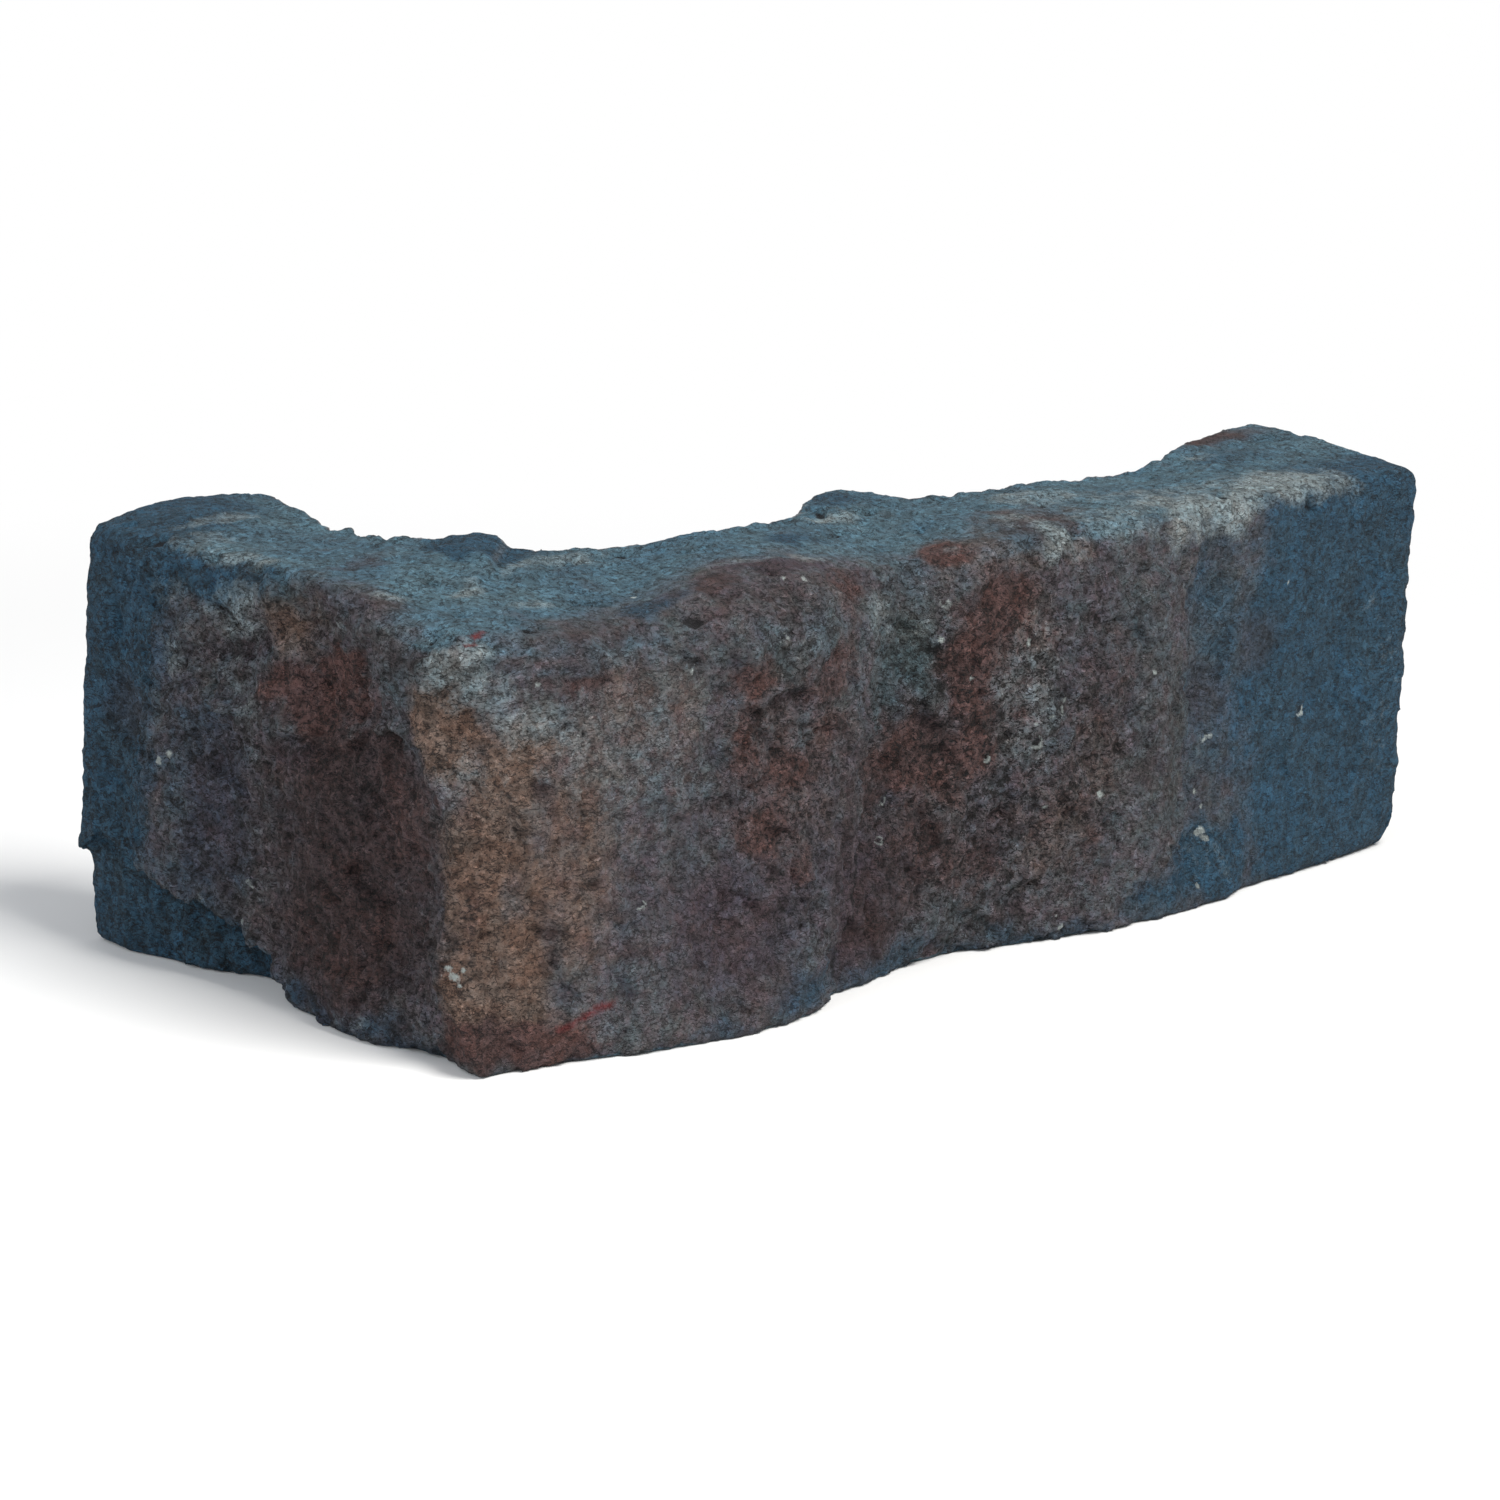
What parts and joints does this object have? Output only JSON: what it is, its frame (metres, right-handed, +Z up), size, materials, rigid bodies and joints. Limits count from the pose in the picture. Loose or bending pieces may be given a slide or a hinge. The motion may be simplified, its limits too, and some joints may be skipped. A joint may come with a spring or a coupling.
{
  "type": "stone veneer corner piece",
  "caption": "L-shaped cast stone veneer corner with a split rock face on its two outer sides, a worn arris and flat bonding faces inside.",
  "frame": {"origin": "wall corner at bed level: the point where the planes of the two inner bonding faces meet the flat bed, in the filled inside corner", "axes": "+X along the long return, away from the corner; +Y along the short return, away from the corner; +Z up, from the bed to the top; the rock faces look towards -Y and -X"},
  "size_m": [0.3186, 0.1567, 0.1039],
  "materials": {
    "corner_stone": "rough split face, pigmented cast concrete in slate blue, mauve grey, ochre and rust"
  },
  "bodies": {
    "root": {"corner_stone": "corner_stone"}
  },
  "joints": []
}
